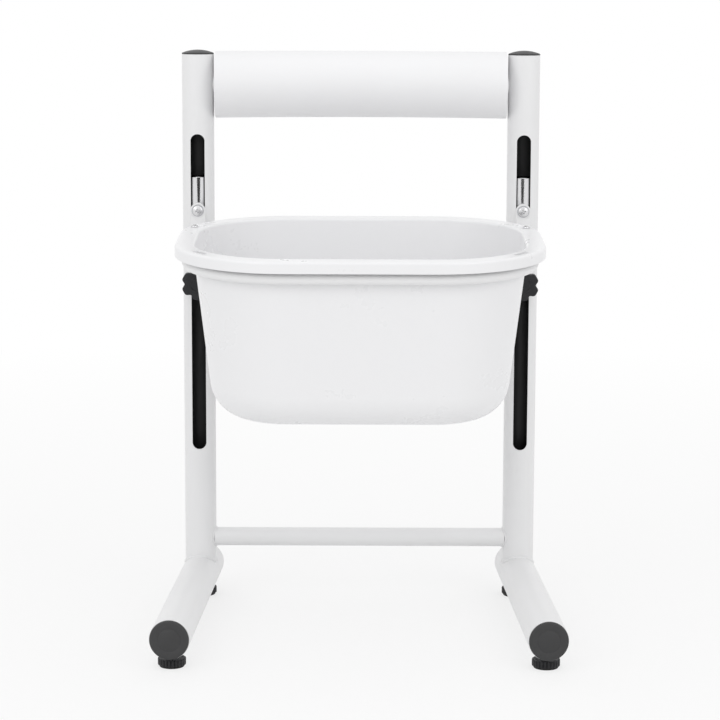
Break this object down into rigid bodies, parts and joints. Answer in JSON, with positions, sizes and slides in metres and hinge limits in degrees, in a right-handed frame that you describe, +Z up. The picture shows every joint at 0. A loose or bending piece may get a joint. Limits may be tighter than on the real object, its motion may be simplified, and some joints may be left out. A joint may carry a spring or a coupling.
{
  "type": "height-adjustable bathing tub stand",
  "caption": "Free-standing bathing tub that slides up and down on two slotted tube posts, clamped by star knobs, with splayed feet on levelling pads and a bowed roll across the top.",
  "frame": {"origin": "on the floor, under the middle of the whole footprint", "axes": "+Z up, -Y towards the user, who looks along +Y; +X to the user's right"},
  "size_m": [0.6202, 0.56, 0.9],
  "materials": {
    "white_powder_coat": "satin white powder coat, faint orange peel",
    "white_roll": "moulded white skin, satin",
    "white_tub_plastic": "moulded white plastic, soft gloss",
    "grey_cap_plastic": "dark grey moulded plastic, fine grain",
    "black_cap_plastic": "black moulded plastic, satin",
    "black_liner_plastic": "black extruded plastic",
    "slider_chrome": "bright chrome",
    "bright_screw_steel": "bright plated steel",
    "zinc_plated_steel": "zinc plate, satin",
    "black_knob_plastic": "black moulded plastic, fine grain",
    "black_rubber": "matte rubber",
    "grey_stopper_rubber": "light grey rubber",
    "white_drain_plastic": "white moulded plastic",
    "white_bush_nylon": "natural nylon"
  },
  "bodies": {
    "frame": {"left_post": "white_powder_coat", "right_post": "white_powder_coat", "left_post_liner": "black_liner_plastic", "right_post_liner": "black_liner_plastic", "left_post_cap": "black_cap_plastic", "right_post_cap": "black_cap_plastic", "lower_crossbar": "white_powder_coat", "upper_crossbar": "white_powder_coat", "top_roll": "white_roll", "left_foot_tube": "white_powder_coat", "right_foot_tube": "white_powder_coat", "foot_inserts": "zinc_plated_steel", "lock_nuts": "zinc_plated_steel", "front_left_foot_cap": "grey_cap_plastic", "rear_left_foot_cap": "grey_cap_plastic", "front_right_foot_cap": "grey_cap_plastic", "rear_right_foot_cap": "grey_cap_plastic"},
    "carriage": {"left_slider": "slider_chrome", "right_slider": "slider_chrome", "left_strap": "white_powder_coat", "right_strap": "white_powder_coat", "slot_bushes": "white_bush_nylon", "strap_screws": "bright_screw_steel", "screw_nuts": "zinc_plated_steel", "clamp_nuts": "zinc_plated_steel", "support_hoop": "white_powder_coat", "hoop_rear_bar": "white_powder_coat", "hoop_lugs": "white_powder_coat", "rim_screws": "bright_screw_steel", "tub": "white_tub_plastic", "drain_fitting": "white_drain_plastic", "drain_gasket": "black_rubber", "drain_nut": "white_drain_plastic"},
    "stopper": {"drain_stopper": "grey_stopper_rubber"},
    "left_washer": {"left_knob_washer": "zinc_plated_steel"},
    "left_knob": {"left_star_knob": "black_knob_plastic", "left_knob_stud": "zinc_plated_steel"},
    "right_washer": {"right_knob_washer": "zinc_plated_steel"},
    "right_knob": {"right_star_knob": "black_knob_plastic", "right_knob_stud": "zinc_plated_steel"},
    "front_left_sole": {"front_left_sole": "black_rubber"},
    "front_left_pad": {"front_left_pad": "black_knob_plastic"},
    "rear_left_sole": {"rear_left_sole": "black_rubber"},
    "rear_left_pad": {"rear_left_pad": "black_knob_plastic"},
    "front_right_sole": {"front_right_sole": "black_rubber"},
    "front_right_pad": {"front_right_pad": "black_knob_plastic"},
    "rear_right_sole": {"rear_right_sole": "black_rubber"},
    "rear_right_pad": {"rear_right_pad": "black_knob_plastic"}
  },
  "joints": [
    {"name": "carriage_height", "type": "slide", "parent": "frame", "child": "carriage", "axis": [0, 0, 1], "range_m": [-0.256, 0.106]},
    {"name": "stopper_lift", "type": "slide", "parent": "carriage", "child": "stopper", "axis": [0, -0.0558, 0.9984], "range_m": [0, 0.06]},
    {"name": "left_knob_travel", "type": "slide", "parent": "carriage", "child": "left_washer", "axis": [0, -1, 0], "range_m": [0, 0.00305]},
    {"name": "left_knob_turn", "type": "hinge", "parent": "left_washer", "child": "left_knob", "pos_m": [-0.26, 0.16054, 0.53], "axis": [0, -1, 0], "range_deg": [0, 720]},
    {"name": "right_knob_travel", "type": "slide", "parent": "carriage", "child": "right_washer", "axis": [0, -1, 0], "range_m": [0, 0.00305]},
    {"name": "right_knob_turn", "type": "hinge", "parent": "right_washer", "child": "right_knob", "pos_m": [0.26, 0.16054, 0.53], "axis": [0, -1, 0], "range_deg": [0, 720]},
    {"name": "front_left_foot_travel", "type": "slide", "parent": "frame", "child": "front_left_sole", "axis": [0, 0, -1], "range_m": [0, 0.0121]},
    {"name": "front_left_foot_turn", "type": "hinge", "parent": "front_left_sole", "child": "front_left_pad", "pos_m": [-0.27853, -0.20452, 0.008], "axis": [0, 0, -1], "range_deg": [0, 2880]},
    {"name": "rear_left_foot_travel", "type": "slide", "parent": "frame", "child": "rear_left_sole", "axis": [0, 0, -1], "range_m": [0, 0.0121]},
    {"name": "rear_left_foot_turn", "type": "hinge", "parent": "rear_left_sole", "child": "rear_left_pad", "pos_m": [-0.25814, 0.228, 0.008], "axis": [0, 0, -1], "range_deg": [0, 2880]},
    {"name": "front_right_foot_travel", "type": "slide", "parent": "frame", "child": "front_right_sole", "axis": [0, 0, -1], "range_m": [0, 0.0121]},
    {"name": "front_right_foot_turn", "type": "hinge", "parent": "front_right_sole", "child": "front_right_pad", "pos_m": [0.27859, -0.20452, 0.008], "axis": [0, 0, -1], "range_deg": [0, 2880]},
    {"name": "rear_right_foot_travel", "type": "slide", "parent": "frame", "child": "rear_right_sole", "axis": [0, 0, -1], "range_m": [0, 0.0121]},
    {"name": "rear_right_foot_turn", "type": "hinge", "parent": "rear_right_sole", "child": "rear_right_pad", "pos_m": [0.25819, 0.228, 0.008], "axis": [0, 0, -1], "range_deg": [0, 2880]}
  ],
  "couplings": [
    {"joint": "left_knob_travel", "follows": "left_knob_turn", "m_per_rad": 0.00023873},
    {"joint": "right_knob_travel", "follows": "right_knob_turn", "m_per_rad": 0.00023873},
    {"joint": "front_left_foot_travel", "follows": "front_left_foot_turn", "m_per_rad": 0.00023873},
    {"joint": "rear_left_foot_travel", "follows": "rear_left_foot_turn", "m_per_rad": 0.00023873},
    {"joint": "front_right_foot_travel", "follows": "front_right_foot_turn", "m_per_rad": 0.00023873},
    {"joint": "rear_right_foot_travel", "follows": "rear_right_foot_turn", "m_per_rad": 0.00023873}
  ]
}
